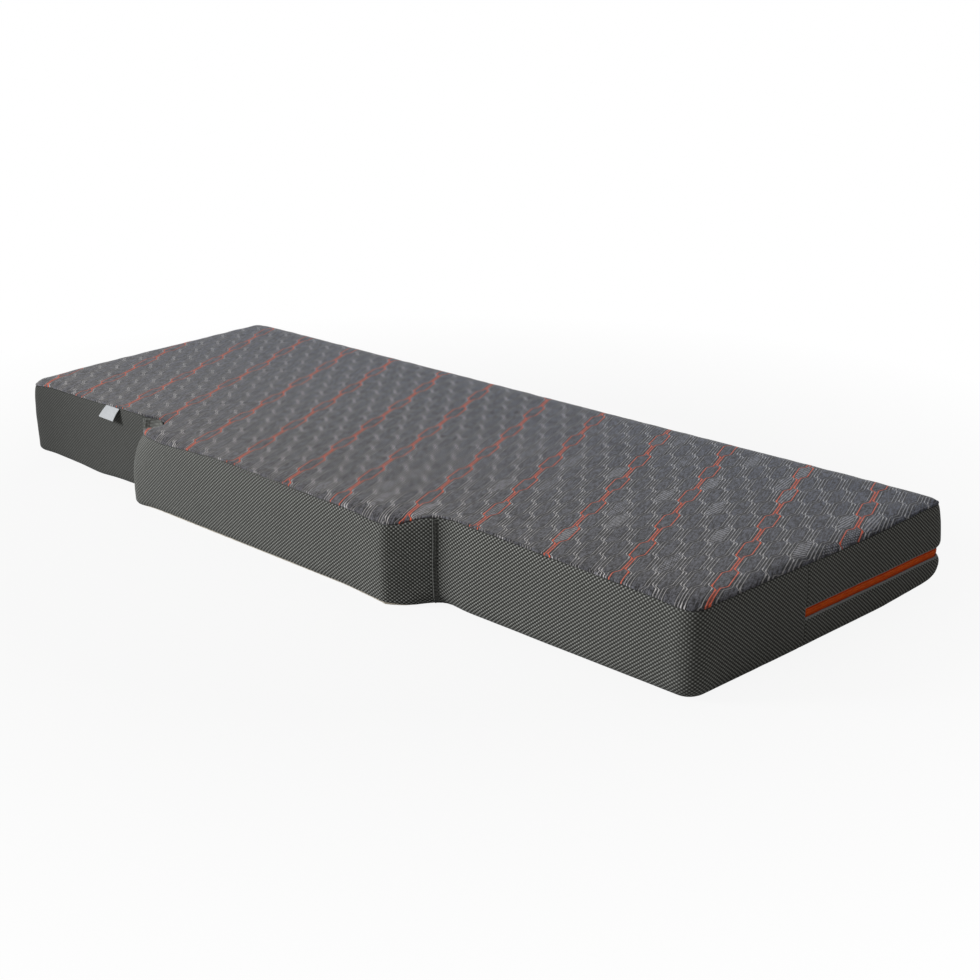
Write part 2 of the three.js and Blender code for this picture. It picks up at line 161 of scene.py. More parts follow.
# ---- Profiles round the outline
# The cover's form is read off the photograph where it shows the place, and guessed at the back
# Height of the top seam
SEAM = profile([
    (-1.0, BACK, 0.163), (-0.985, 0.15, 0.162), (-0.965, -0.15, 0.161), (-0.953, ENDS, 0.155),
    (-0.905, ENDS, 0.161), (-0.86, ENDS, 0.166), (-0.729, ENDS, 0.168), (-0.654, ENDS, 0.1698),
    (-0.60, ENDS, 0.1722), (-0.546, ENDS, 0.1744), (-0.51, ENDS, 0.1752), (-0.497, ENDS, 0.1722),
    (-0.486, -0.331, 0.169), (-0.479, -0.3354, 0.1665), (-0.474, -0.343, 0.160), (-0.473, -0.351, 0.154),
    (-0.463, -0.382, 0.1542), (-0.437, BULGE, 0.1565), (-0.42, BULGE, 0.159), (-0.40, BULGE, 0.1605),
    (-0.385, BULGE, 0.1612), (-0.366, BULGE, 0.1607), (-0.34, BULGE, 0.1605),
    (-0.316, BULGE, 0.1616), (-0.22, BULGE, 0.168), (-0.151, BULGE, 0.1708),
    (0.004, BULGE, 0.168), (0.122, BULGE, 0.165), (0.224, BULGE, 0.1635), (0.30, BULGE, 0.157),
    (0.325, -0.386, 0.1553), (0.340, -0.3747, 0.158), (0.355, -0.3636, 0.164), (0.378, -0.3466, 0.171),
    (0.401, ENDS, 0.1745), (0.438, ENDS, 0.1762), (0.469, ENDS, 0.1758), (0.674, ENDS, 0.169),
    (0.841, ENDS, 0.1645), (0.91, ENDS, 0.159), (0.953, ENDS, 0.1565), (0.9564, -0.28, 0.1615),
    (0.965, -0.115, 0.1613), (0.975, 0.037, 0.1597), (0.985, 0.17, 0.161), (0.99, 0.234, 0.163),
    (0.994, 0.30, 0.1648), (0.997, 0.36, 0.1635), (0.99, BACK, 0.160), (0.93, BACK, 0.1612),
    (0.8, BACK, 0.1612), (0.3, BACK, 0.1612), (-0.5, BACK, 0.1622), (-0.9, BACK, 0.163),
], soften=0.005)
SEAM += 0.0004 * waves(RUN, RUN * 0, seed=3, scale=0.055)

# Height of the border's foot
FOOT_LEAST = 0.0012
FOOT = profile([
    (-1.0, BACK, 0.0012), (-0.56, ENDS, 0.0012), (-0.470, -0.35, 0.0012), (-0.44, BULGE, 0.0018),
    (-0.39, BULGE, 0.0085), (-0.30, BULGE, 0.0098), (0.0, BULGE, 0.0105), (0.22, BULGE, 0.0100),
    (0.30, BULGE, 0.0085), (0.335, -0.38, 0.006), (0.36, -0.36, 0.002), (0.40, -0.331, 0.0012),
    (1.0, BACK, 0.0012),
])
FOOT += (0.0002 + 0.03 * (FOOT - FOOT_LEAST)) * waves(RUN, RUN * 0, seed=5, scale=0.02)

# Radius of the border's roll above its foot
FOOT_ROUND = profile([
    (-1.0, BACK, 0.028), (-0.965, -0.2, 0.016), (-0.953, ENDS, 0.012), (-0.88, ENDS, 0.022),
    (-0.76, ENDS, 0.018), (-0.683, ENDS, 0.009), (-0.63, ENDS, 0.020), (-0.53, ENDS, 0.026),
    (-0.470, -0.35, 0.016), (-0.462, -0.384, 0.012), (-0.40, BULGE, 0.025), (0.2, BULGE, 0.029),
    (0.29, BULGE, 0.018), (0.33, -0.38, 0.010), (0.355, -0.36, 0.013), (0.38, -0.345, 0.030),
    (0.40, -0.331, 0.040), (0.45, ENDS, 0.031), (0.7, ENDS, 0.030), (0.953, ENDS, 0.029),
    (0.97, -0.1, 0.026), (0.985, 0.2, 0.026), (0.995, 0.34, 0.038), (1.0, BACK, 0.050), (0.95, BACK, 0.042),
    (0.9, BACK, 0.032), (-0.9, BACK, 0.028),
])

# How far the top is drawn in at the seam
TOP_PULL = profile([
    (-1.0, BACK, 0.006), (-0.97, -0.1, 0.001), (-0.953, ENDS, 0.001), (-0.53, ENDS, 0.0005),
    (-0.503, ENDS, 0.0005), (-0.493, -0.3297, 0.003), (-0.486, -0.331, 0.014), (-0.479, -0.3354, 0.046),
    (-0.474, -0.343, 0.048), (-0.473, -0.352, 0.032), (-0.470, -0.37, 0.027), (-0.463, -0.382, 0.028),
    (-0.437, BULGE, 0.026), (-0.42, BULGE, 0.016),
    (-0.40, BULGE, 0.008), (-0.385, BULGE, 0.004), (-0.35, BULGE, 0), (0.27, BULGE, 0),
    (0.316, BULGE, 0.003), (0.36, -0.36, 0.005), (0.401, ENDS, 0.001), (0.5, ENDS, 0),
    (0.94, ENDS, 0), (0.992, 0.25, 0), (0.997, 0.35, 0.004), (0.99, BACK, 0.009), (0.92, BACK, 0.004),
    (0.8, BACK, 0), (-0.9, BACK, 0),
], soften=0.004)

# How far inwards that draw-in is felt
PULL_REACH = profile([
    (-1.0, BACK, 0.02), (-0.5, ENDS, 0.03), (-0.486, -0.331, 0.045), (-0.473, -0.347, 0.045),
    (-0.470, -0.37, 0.02), (-0.437, BULGE, 0.02), (1.0, BACK, 0.02),
], soften=0.006)

# Brightness of the border's mesh, which is painted light and shade: darker along the left end, down the step
# and into the right notch, lighter in the left notch; this and the contrast were set by comparing renders
# with the photograph
PAINTED_LIGHT = profile([
    (-1.0, BACK, 0.72), (-0.953, ENDS, 0.29), (-0.88, ENDS, 0.31), (-0.7, ENDS, 0.42),
    (-0.503, ENDS, 0.46), (-0.493, ENDS, 0.62), (-0.486, -0.331, 0.90), (-0.473, -0.350, 0.95),
    (-0.465, -0.38, 0.73),
    (-0.43, BULGE, 0.74), (-0.1, BULGE, 0.84), (0.31, BULGE, 0.91), (0.36, -0.36, 0.79),
    (0.385, -0.341, 0.74), (0.402, ENDS, 0.60), (0.42, ENDS, 0.82), (0.455, ENDS, 0.98),
    (0.75, ENDS, 0.97), (0.9, ENDS, 0.90), (0.97, 0.0, 1.0), (1.0, BACK, 0.94), (0.9, BACK, 0.82),
], soften=0.006)

# Contrast between the mesh's threads and the dark between them
CONTRAST = profile([
    (-1.0, BACK, 0.9), (-0.953, ENDS, 0.4), (-0.515, ENDS, 0.45), (-0.499, ENDS, 0.25),
    (-0.483, -0.332, 0.25), (-0.473, -0.350, 0.30), (-0.470, -0.37, 0.42), (-0.45, BULGE, 0.55),
    (-0.2, BULGE, 0.72),
    (0.25, BULGE, 0.9), (0.4, ENDS, 0.95), (0.9, ENDS, 0.85), (0.97, 0.0, 0.8), (1.0, BACK, 0.9),
    (0.9, BACK, 1.0),
], soften=0.004)

# The most that the layers inside are drawn in
LAYER_ROOM = profile([
    (-1.0, BACK, 0.06), (-0.486, -0.331, 0.06), (-0.473, -0.350, 0.045),
    (-0.4715, -0.362, 0.0185), (-0.43, BULGE, 0.0185), (-0.38, BULGE, 0.06), (1.0, BACK, 0.06),
], soften=0.003)

# Which of the mesh's two diagonals is the stronger; at 0.5 they are alike
LEAN = profile([
    (-1.0, BACK, 0.5), (-0.96, -0.2, 0.5), (-0.9, ENDS, 0.9), (-0.5, ENDS, 0.9), (-0.47, -0.361, 0.5),
    (-0.41, BULGE, 0.92), (0.15, BULGE, 0.85), (0.28, BULGE, 0.62), (0.33, -0.38, 0.45), (0.38, -0.345, 0.45),
    (0.47, ENDS, 0.85), (0.88, ENDS, 0.85), (0.945, -0.32, 0.5), (0.957, -0.27, 0.12),
    (0.985, 0.2, 0.08), (1.0, BACK, 0.3), (0.9, BACK, 0.5),
], soften=0.02)

# ---- Mesh making
MERGE_DISTANCE = 1e-6


def make(name, points, faces, material, node, slot, body="mattress", **values):
    """A visible piece; values are vectors for each point that its material reads."""
    data = bpy.data.meshes.new(name)
    whole = [tuple(int(i) for i in face) for face in faces]
    data.from_pydata(np.asarray(points, float).tolist(), [], whole)
    for key, value in values.items():
        data.attributes.new(key, "FLOAT_VECTOR", "POINT").data.foreach_set(
            "vector", np.asarray(value, np.float32).ravel())
    shape = bmesh.new()
    shape.from_mesh(data)
    bmesh.ops.remove_doubles(shape, verts=shape.verts, dist=MERGE_DISTANCE)
    bmesh.ops.recalc_face_normals(shape, faces=shape.faces)
    shape.to_mesh(data)
    shape.free()
    data.shade_smooth()
    data.materials.append(material)
    piece = bpy.data.objects.new(name, data)
    bpy.context.scene.collection.objects.link(piece)
    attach(piece, body)
    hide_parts(*([node] if isinstance(node, str) else node))
    return piece


def loop_faces(loops, width):
    """Quads between loops of points that follow each other."""
    faces = []
    for a in range(loops - 1):
        b = a + 1
        for k in range(width):
            n = (k + 1) % width
            faces.append((a * width + k, a * width + n, b * width + n, b * width + k))
    return faces


def cap(width, start, rows):
    """Quads that close a section whose second half runs back along its first."""
    last = start + width - 1
    return [(start + k, start + k + 1, last - 1 - k, last - k) for k in range(rows - 1)]


# Insets of the rings on the crown, and the line along the middle that the rings are filled in to
CROWN_INSETS = [0.026, 0.033, 0.042, 0.053, 0.066, 0.082]
SPINE_STEP, SPINE_END, SPINE_Y, SPINE_PART, SPINE_BLEND = 0.009, 0.66, 0.04, 0.8, 0.24
SPINE_SHARES = np.array([0.07, 0.15, 0.24, 0.34, 0.45, 0.57, 0.7, 0.84, 1.0])
SPINE = np.round(outline(CROWN_INSETS[-1])[:, 0] * SPINE_PART / SPINE_STEP) * SPINE_STEP
SPINE = np.column_stack([np.clip(SPINE, -SPINE_END, SPINE_END), np.full(len(BASE), SPINE_Y)])


def filled(name, rings, low=None, high=None, **options):
    """A closed form through rings of the outline, filled in at both ends.

    A ring is (inset, heights, extra draw-in). low and high are depths of the end faces below the top's
    face, or None for flat ones.
    """
    loops = []
    for inset, height, extra in rings:
        plan = outline(inset) - OUTWARD * np.broadcast_to(extra, len(BASE))[:, None]
        loops.append(np.column_stack([plan, np.broadcast_to(height, len(BASE))]))

    def inward(loop, depth):
        made = []
        for share in SPINE_SHARES:
            plan = loop[:, :2] + share * (SPINE - loop[:, :2])
            z = loop[:, 2]
            if depth is not None:
                blend = min(share / SPINE_BLEND, 1)
                z = z * (1 - blend) + (plateau(plan, share) - depth) * blend
            made.append(np.column_stack([plan, z]))
        return made

    loops = inward(loops[0], low)[::-1] + loops + inward(loops[-1], high)
    return make(name, np.concatenate(loops), loop_faces(len(loops), len(BASE)), **options)


# ---- Materials
class Field:
    """A number in a material's nodes, so that a pattern is written as a sum."""

    def __init__(self, tree, socket):
        self.tree, self.socket = tree, socket

    def math(self, kind, *others, clamp=False, swap=False):
        node = self.tree.nodes.new("ShaderNodeMath")
        node.operation, node.use_clamp = kind, clamp
        values = [self, *others]
        for place, value in enumerate(values[::-1] if swap else values):
            if isinstance(value, Field):
                self.tree.links.new(value.socket, node.inputs[place])
            else:
                node.inputs[place].default_value = value
        return Field(self.tree, node.outputs[0])

    def __add__(self, other): return self.math("ADD", other)
    def __sub__(self, other): return self.math("SUBTRACT", other)
    def __rsub__(self, other): return self.math("SUBTRACT", other, swap=True)
    def __mul__(self, other): return self.math("MULTIPLY", other)
    def __truediv__(self, other): return self.math("DIVIDE", other)
    __radd__, __rmul__ = __add__, __mul__

    def floor(self): return self.math("FLOOR")
    def share(self): return self.math("FRACT")
    def size(self): return self.math("ABSOLUTE")
    def least(self, other): return self.math("MINIMUM", other)
    def most(self, other): return self.math("MAXIMUM", other)
    def power(self, other): return self.math("POWER", other)
    def wave(self): return (self * math.tau).math("COSINE") * 0.5 + 0.5
    def equals(self, other): return self.math("COMPARE", other, 0.5)
    def modulo(self, other): return self.math("FLOORED_MODULO", other)
    def ramp(self, low, high): return ((self - low) / (high - low)).math("ADD", 0.0, clamp=True)


class Paint:
    """A material and short ways to its nodes."""

    def __init__(self, name, colour, roughness, **settings):
        self.material = bpy.data.materials.new(name)
        self.material.use_nodes = True
        self.tree = self.material.node_tree
        self.shader = self.tree.nodes["Principled BSDF"]
        self.shader.inputs["Base Color"].default_value = (*colour, 1)
        self.shader.inputs["Roughness"].default_value = roughness
        for key, value in settings.items():
            self.shader.inputs[key.replace("_", " ").title().replace("Ior", "IOR")].default_value = value

    def new(self, kind, **settings):
        node = self.tree.nodes.new("ShaderNode" + kind)
        for key, value in settings.items():
            setattr(node, key, value)
        return node

    def place(self):
        """Where a point is on the object, in metres."""
        return self.new("TexCoord").outputs["Object"]

    def values(self, name):
        return self.split(self.new("Attribute", attribute_name=name).outputs["Vector"])

    def split(self, socket):
        node = self.new("SeparateXYZ")
        self.tree.links.new(socket, node.inputs[0])
        return [Field(self.tree, output) for output in node.outputs]

    def joined(self, x, y, z=0.0):
        node = self.new("CombineXYZ")
        for socket, value in zip(node.inputs, (x, y, z)):
            if isinstance(value, Field):
                self.tree.links.new(value.socket, socket)
            else:
                socket.default_value = value
        return node.outputs[0]

    def noise(self, at, scale, detail=2.0, roughness=0.5):
        node = self.new("TexNoise")
        self.tree.links.new(at, node.inputs["Vector"])
        node.inputs["Scale"].default_value = scale
        node.inputs["Detail"].default_value = detail
        node.inputs["Roughness"].default_value = roughness
        return Field(self.tree, node.outputs["Fac"])

    def cells(self, at, scale):
        node = self.new("TexVoronoi")
        self.tree.links.new(at, node.inputs["Vector"])
        node.inputs["Scale"].default_value = scale
        return Field(self.tree, node.outputs["Distance"])

    def chance(self, x, y):
        node = self.new("TexWhiteNoise", noise_dimensions="2D")
        self.tree.links.new(self.joined(x, y), node.inputs["Vector"])
        return Field(self.tree, node.outputs["Value"])

    def mix(self, share, a, b):
        node = self.new("Mix", data_type="RGBA")
        for socket, value in ((node.inputs[0], share), (node.inputs[6], a), (node.inputs[7], b)):
            if isinstance(value, Field):
                self.tree.links.new(value.socket, socket)
            elif isinstance(value, bpy.types.NodeSocket):
                self.tree.links.new(value, socket)
            else:
                socket.default_value = (*value, 1) if isinstance(value, tuple) else value
        return node.outputs[2]

    def colour(self, socket):
        self.tree.links.new(socket, self.shader.inputs["Base Color"])

    def bump(self, height, distance, strength=1.0):
        node = self.new("Bump")
        node.inputs["Strength"].default_value = strength
        node.inputs["Distance"].default_value = distance
        self.tree.links.new(height.socket, node.inputs["Height"])
        self.tree.links.new(node.outputs[0], self.shader.inputs["Normal"])


def jacquard():
    """Knit with columns of long cells and double lines between them; two columns in fifteen are orange."""
    paint = Paint("jacquard_knit", (0.14, 0.138, 0.145), 0.95, sheen_weight=0.22, sheen_roughness=0.45,
                  specular_ior_level=0.15)
    at = paint.place()
    x, y, _ = paint.split(at)
    pitch, period, stagger = 0.0213, 0.133, 0.387
    along_x = x * (0.989 - x * 0.0225 - y * 0.031) + y * 0.025 + 0.027
    columns = (along_x + y * (0.396 - along_x * 0.065) - 0.5365) / 0.02083
    column = columns.floor()
    f = (columns - column) * pitch
    row = (0.0 - y - 0.0205) / period - (column - 7.0) * stagger
    next_row = row - stagger

    def wide(phase, middle, way):
        """How far a line is opened out, sharply at one end of its cell, and its sharp and gentle bends."""
        off = ((phase - middle + 0.5).share() - 0.5) * way
        w = (0.280 - off).ramp(0.0, 0.06).least((off + 0.335).ramp(0.0, 0.17))
        w = w * w * (3.0 - w * 2.0)
        sharp = (0.105 - (off - 0.25).size()).ramp(0.0, 0.06)
        gentle = (0.100 - (off + 0.25).size()).ramp(0.0, 0.06)
        return w, sharp, gentle

    right, right_sharp, right_gentle = wide(row, middle=0.25, way=-1.0)
    left, left_sharp, left_gentle = wide(next_row, middle=0.363, way=1.0)
    narrow, grown = 0.0026, 0.0099
    right_at, left_at = right * grown + narrow, left * grown + narrow
    back = pitch - f
    right_past, left_past = f - right_at, back - left_at
    right_off, left_off = right_past.size(), left_past.size()

    repeat, second_orange = 15.0, 7.0

    def orange(index):
        place = index.modulo(repeat)
        return place.equals(0.0).most(place.equals(second_orange))

    right_orange, left_orange = orange(column), orange(column + 1.0)

    soft = 0.0006

    def line(off, sharp, gentle, is_orange):
        half = is_orange * 0.0001 + sharp * (is_orange * 0.0003 + 0.0003) - gentle * 0.0002 + 0.0009
        return ((half - off) / soft + 0.5).math("ADD", 0.0, clamp=True)

    def between(past, width, is_orange):
        return (0.0 - past).ramp(0.0, soft) * (1.0 - width).power(3.0) * is_orange

    right_line = line(right_off, right_sharp, right_gentle, right_orange)
    left_line = line(left_off, left_sharp, left_gentle, left_orange)
    orange_line = (right_line * right_orange).most(left_line * left_orange)
    filling = between(right_past, right, right_orange).most(between(left_past, left, left_orange))
    grey_line = right_line.most(left_line)
    # Painted shade: a band beside each grey line where the ground is darkened, as the shadow of its raised
    # edge
    beside = (0.0036 - right_off.least(left_off)).ramp(0.0, 0.0014)
    bends = right_sharp.most(left_sharp) * 0.50 - right_gentle.most(left_gentle) * 0.18

    few, fewest, cell_edge = 0.84, 0.95, 0.0022

    def hatch(inside, index, rows):
        """Fine lines in a few cells and dots in fewer, mostly towards the right-hand front."""
        chosen = paint.chance(index, rows.floor())
        fan = ((x - y * (chosen - 0.9) * 6.0) / 0.0058).wave().ramp(0.5, 0.85)
        dots = ((x - y * 0.2) / 0.0052).wave() * ((y + x * 0.3) / 0.0062).wave()
        marks = fan * chosen.math("GREATER_THAN", few) * chosen.math("LESS_THAN", fewest)
        marks = marks.most(dots.ramp(0.3, 0.8) * chosen.math("GREATER_THAN", fewest))
        return inside * marks * (x - y * 0.5).ramp(0.1, 0.5)

    inside_right = (right_at - cell_edge - f).math("GREATER_THAN", 0.0) * right
    inside_left = (left_at - cell_edge - back).math("GREATER_THAN", 0.0) * left
    hatching = hatch(inside_right, column, row).most(hatch(inside_left, column + 1.0, next_row)) * 0.55

    mottle = paint.noise(at, scale=230.0, detail=3.0, roughness=0.65)
    grain = paint.joined(x + y * 0.4, (y - x * 0.4) * 0.14)
    streak = paint.noise(grain, scale=310.0, detail=3.0, roughness=0.6)
    cloud = paint.noise(at, scale=9.0)
    # Painted light: ground, dark and pale are tinted warmer towards the front and cooler towards the back,
    # the colour of the light falling on the top
    depth = y.ramp(-0.42, 0.40)
    cells = inside_right.most(inside_left)
    ground = paint.mix(depth, (0.178, 0.178, 0.200), (0.136, 0.153, 0.208))
    dark = paint.mix(depth, (0.030, 0.029, 0.030), (0.024, 0.026, 0.033))
    fibre = (mottle - 0.5) * 2.6 + (streak - 0.5) * 3.4
    # beside darkens the ground next to the lines: painted shade
    shade = fibre + 0.46 + cells * 0.06 + beside * 0.50 + (cloud - 0.5) * 0.3
    ground = paint.mix(shade.ramp(0.0, 1.0), ground, dark)
    # The pale lines take the same painted light tint
    pale = paint.mix(depth, (0.66, 0.64, 0.64), (0.56, 0.58, 0.64))
    strength = (grey_line * (0.52 + bends)).most(hatching) * (0.95 - (streak - 0.5) * 1.6)
    colour = paint.mix(strength.math("ADD", 0.0, clamp=True), ground, pale)
    orange_strength = (orange_line * (0.80 + bends * 0.4)).most(filling * (streak * 1.2 - 0.4)) * 0.97
    paint.colour(paint.mix(orange_strength, colour, (0.90, 0.120, 0.034)))
    knit = ((x + y * 0.4) / 0.0016).wave() * (y / 0.0013).wave()
    relief = grey_line.most(hatching) * 0.5 + knit * 0.1 + mottle * 0.25 - beside * 0.2
    paint.bump(relief, distance=0.0010, strength=0.7)
    return paint.material


def spacer_mesh():
    """Open three-dimensional knit: pale threads in two crossing directions over a dark depth."""
    paint = Paint("spacer_mesh", (0.09, 0.09, 0.088), 0.9, sheen_weight=0.05, sheen_roughness=0.5,
                  specular_ior_level=0.15)
    run, height, lean = paint.values("cloth")
    # level is painted light and shade along the border
    level, contrast, edge = paint.values("tone")
    bend = (run * 3.1).math("SINE") * 0.004
    rise = height + bend
    sideways, upwards = run * 120.0, rise * 144.0
    first, second = (sideways - upwards).wave(), (sideways + upwards).wave()
    main = first * lean + second * (1.0 - lean)
    other = second * lean + first * (1.0 - lean)
    mottle = paint.noise(paint.place(), scale=420.0)
    thread = (main * (other * 0.66 + 0.34)).power(1.6)
    middle = 0.24
    value = (thread * (0.8 + (mottle - 0.5) * 0.7) - middle) * contrast + middle
    gap, pale = (0.0066, 0.0060, 0.0044), (0.640, 0.66, 0.63)
    open_knit = paint.mix(value.math("ADD", 0.0, clamp=True), gap, pale)
    # Painted light and shade: the knit's colour darkened by level
    open_knit = paint.mix(level, (0.0, 0.0, 0.0), open_knit)
    paint.colour(paint.mix(edge, open_knit, (0.33, 0.36, 0.37)))
    paint.bump(thread * contrast * (1.0 - edge) + mottle * 0.15, distance=0.0014, strength=0.75)
    return paint.material


def weave(name, dark, pale, pitch, relief, roughness=0.9):
    """Plain weave of two threads with a little unevenness."""
    paint = Paint(name, pale, roughness, sheen_weight=0.05, specular_ior_level=0.2)
    at = paint.place()
    x, y, z = paint.split(at)
    over = ((x + z * 0.3) / pitch).wave() * ((y + z) / pitch).wave()
    cloud = paint.noise(at, scale=30.0, detail=4.0, roughness=0.6)
    value = (over * 0.6 + cloud * 0.5).math("ADD", 0.0, clamp=True)
    paint.colour(paint.mix(value, dark, pale))
    paint.bump(over + cloud * 0.4, distance=relief, strength=0.8)
    return paint.material


def foam(name, dark, pale, scale):
    """Open cells with a slow change of tone."""
    paint = Paint(name, pale, 0.95)
    at = paint.place()
    pores = paint.cells(at, scale).ramp(0.15, 0.6)
    cloud = paint.noise(at, scale=12.0, detail=3.0)
    paint.colour(paint.mix((pores * 0.7 + cloud * 0.4).math("ADD", 0.0, clamp=True), dark, pale))
    paint.bump(pores, distance=0.0008, strength=0.7)
    return paint.material


def nylon(name, dark, pale):
    """Moulded thread with uneven dye."""
    paint = Paint(name, pale, 0.5, specular_ior_level=0.3)
    at = paint.place()
    cloud = paint.noise(at, scale=60.0, detail=3.0, roughness=0.6)
    fine = paint.noise(at, scale=900.0)
    paint.colour(paint.mix(cloud.ramp(0.3, 0.7), dark, pale))
    paint.bump(fine, distance=0.0002, strength=0.5)
    return paint.material


def metal():
    """Cast metal, worn brighter in places."""
    paint = Paint("slider_metal", (0.16, 0.16, 0.17), 0.36, metallic=0.85)
    at = paint.place()
    cloud = paint.noise(at, scale=500.0, detail=4.0, roughness=0.6)
    worn = paint.noise(at, scale=90.0, detail=3.0)
    paint.colour(paint.mix(worn.ramp(0.45, 0.75), (0.11, 0.11, 0.12), (0.30, 0.30, 0.31)))
    rough = cloud * 0.2 + 0.28
    paint.tree.links.new(rough.socket, paint.shader.inputs["Roughness"])
    paint.bump(cloud, distance=0.0001, strength=0.4)
    return paint.material


JACQUARD = jacquard()
SPACER = spacer_mesh()
UNDERSIDE = weave("underside_cloth", (0.55, 0.50, 0.40), (0.84, 0.79, 0.68), 0.0016, 0.0004)
TAPE = weave("zip_tape_cloth", (0.80, 0.085, 0.004), (0.96, 0.130, 0.006), 0.0011, 0.0003)
WADDING = weave("wadding_fibre", (0.72, 0.71, 0.68), (0.88, 0.87, 0.84), 0.004, 0.001, 1.0)
COMFORT = foam("comfort_foam_cells", (0.50, 0.58, 0.64), (0.74, 0.80, 0.84), 900.0)
SUPPORT = foam("support_foam_cells", (0.60, 0.55, 0.42), (0.82, 0.78, 0.66), 700.0)
BASE_FOAM = foam("base_foam_cells", (0.40, 0.42, 0.45), (0.60, 0.62, 0.65), 600.0)
LABEL = weave("label_ribbon", (0.42, 0.44, 0.46), (0.59, 0.61, 0.635), 0.0008, 0.0001, 0.7)
NYLON = nylon("coil_nylon", (0.86, 0.110, 0.004), (0.98, 0.175, 0.008))
METAL = metal()

# ---- Top panel: a plateau that rolls down to the seam
PLATEAU = 0.1712
PANEL = 0.0036  # thickness
SEAM_INSET = 0.0030
CROWN_ROLL, PUFF, PUFF_START, PUFF_REACH = 0.0135, 0.0020, 0.006, 0.05
DIP, DIP_X, DIP_Y, DIP_REACH = 0.0045, -0.445, -0.345, 0.055
UNEVEN, SWELLS = 0.0006, 0.0011


def dip(plan):
    """How far the top is drawn down beside the left step."""
    return DIP * np.exp(-((plan[:, 0] - DIP_X) ** 2 + (plan[:, 1] - DIP_Y) ** 2) / DIP_REACH ** 2)


def unevenness(plan, size):
    """Small humps in the top, the same on every layer under it."""
    return size * waves(plan[:, 0], plan[:, 1], seed=11, scale=0.14)


def top_height(inset):
    """Height of the top's face at an inset, from the seam up to the plateau."""
    past = max(inset - SEAM_INSET, 0)
    share = 1 - np.exp(-past / CROWN_ROLL)
    puff = PUFF * min(past / PUFF_START, 1) * math.exp(-past / PUFF_REACH)
    plan = outline(inset)
    return SEAM + (PLATEAU - dip(plan) - SEAM) * share + puff + unevenness(plan, UNEVEN * share)


def plateau(plan, share):
    """Height of the top's face away from its edge."""
    swells = SWELLS * waves(plan[:, 0], plan[:, 1], seed=12, scale=0.42) * min(share * 4, 1)
    return PLATEAU - dip(plan) + unevenness(plan, UNEVEN) + swells


def pull(inset):
    """Draw-in of the top at an inset, where the seam is drawn in at a corner."""
    return TOP_PULL * np.exp(-inset / PULL_REACH)


def crown_rings(insets, depth):
    return [(inset, top_height(inset) - depth, pull(inset)) for inset in insets]


TOP_INSETS = [0.0075, 0.0095, 0.012, 0.0155, 0.020] + CROWN_INSETS
EDGE = [  # (inset, rise over the seam) round the panel's edge, from below to above
    (0.0080, -0.0009), (0.0054, -0.0010), (0.0038, -0.0004), (0.0031, 0.0005), (0.0030, 0.0016),
    (0.0034, 0.0027), (0.0048, 0.0040),
]
top_panel = filled(
    "top_panel_knit",
    crown_rings(TOP_INSETS[:0:-1], PANEL) + [(inset, SEAM + rise, pull(inset)) for inset, rise in EDGE]
    + crown_rings(TOP_INSETS, 0), PANEL, 0,
    material=JACQUARD, node="top_panel", slot="jacquard")

# ---- Border of spacer mesh
TOP_CURVE = ([0.80, 0.85, 0.89, 0.925, 0.955, 0.98, 1.0], [0, 0.05, 0.13, 0.25, 0.42, 0.66, 1])
PULL_CURVE = ([0.25, 0.5, 0.65, 0.8, 0.9, 1.0], [0, 0.08, 0.21, 0.45, 0.69, 1.0])
BORDER = 0.003  # thickness
UNDER_SEAM = 0.0012
TOP_ROLL, SWELL = 0.0036, 0.0014
STRIP_ENDS, END_ROOM = np.array([0.0002, 0.001, 0.0022, 0.004, 0.0065]), 0.012
RIM = 0.0032
LIP_DEEP, LIP_HIGH, END_DEEP, END_REACH = 0.0052, 0.0048, 0.0016, 0.0025
ZIP_LOW, ZIP_HIGH, ZIP_MIDDLE = 0.0618, 0.0782, 0.070


def wall(run, height):
    """Inset of the border's face at a height."""
    rise = np.clip(height / (along(SEAM, run) - UNDER_SEAM), 0, 1)
    radius = along(FOOT_ROUND, run)
    under = np.clip(radius - height, 0, radius)
    inset = radius - np.sqrt(radius ** 2 - under ** 2) + TOP_ROLL * np.interp(rise, *TOP_CURVE)
    inset = inset + along(pull(SEAM_INSET), run) * np.interp(rise, *PULL_CURVE)
    uneven = waves(run, height, seed=21, scale=0.16) * 0.0007
    uneven = uneven + waves(run, height, seed=22, scale=0.05) * 0.00025
    swell = np.sin(np.pi * rise)
    return inset - SWELL * swell ** 2 - uneven * np.sqrt(np.abs(swell))


def run_steps(start, end):
    """Lengths along the outline for a strip, close together at its ends."""
    length = (end - start) % LENGTH
    middle = np.linspace(END_ROOM, length - END_ROOM, max(3, round((length - 2 * END_ROOM) / SPACING)))
    return np.concatenate([STRIP_ENDS, middle, (length - STRIP_ENDS)[::-1]]), length


